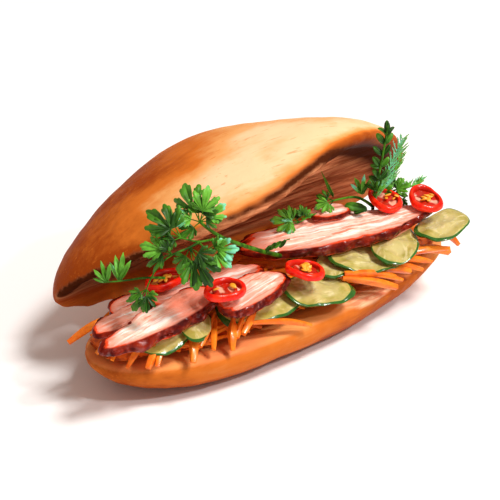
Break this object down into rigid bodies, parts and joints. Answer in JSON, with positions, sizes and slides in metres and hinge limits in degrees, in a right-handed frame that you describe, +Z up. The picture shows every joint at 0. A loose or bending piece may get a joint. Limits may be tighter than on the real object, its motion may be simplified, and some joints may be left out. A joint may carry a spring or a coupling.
{
  "type": "banh mi sandwich",
  "caption": "Short crusty roll slit along its front and opened on its back, filled with carrot strips, cucumber slices, roast pork slices and chili rings, as served food",
  "frame": {"origin": "on the flat of the roll's underside, under the middle of its length, where it rests on the table", "axes": "+X runs along the roll to the end where a folded cucumber slice sticks out, +Y points from the open side to the uncut back, +Z is up"},
  "size_m": [0.2253, 0.1183, 0.0994],
  "materials": {
    "crust": "baked crust, dry and slightly shiny",
    "carrot": "wet",
    "cucumber": "wet",
    "pork": "glazed",
    "chili": "glossy skin",
    "herb": "fresh leaf"
  },
  "bodies": {
    "root": {"bread": "crust", "carrot_bed": "carrot", "cucumber_1": "cucumber", "cucumber_2": "cucumber", "cucumber_3": "cucumber", "cucumber_4": "cucumber", "cucumber_5": "cucumber", "cucumber_6": "cucumber", "cucumber_7": "cucumber", "cucumber_8": "cucumber", "pork_1": "pork", "pork_2": "pork", "pork_3": "pork", "pork_4": "pork", "pork_5": "pork", "pork_6": "pork", "pork_7": "pork", "chili_1": "chili", "chili_2": "chili", "chili_3": "chili", "chili_4": "chili", "chili_5": "chili"}
  },
  "joints": []
}
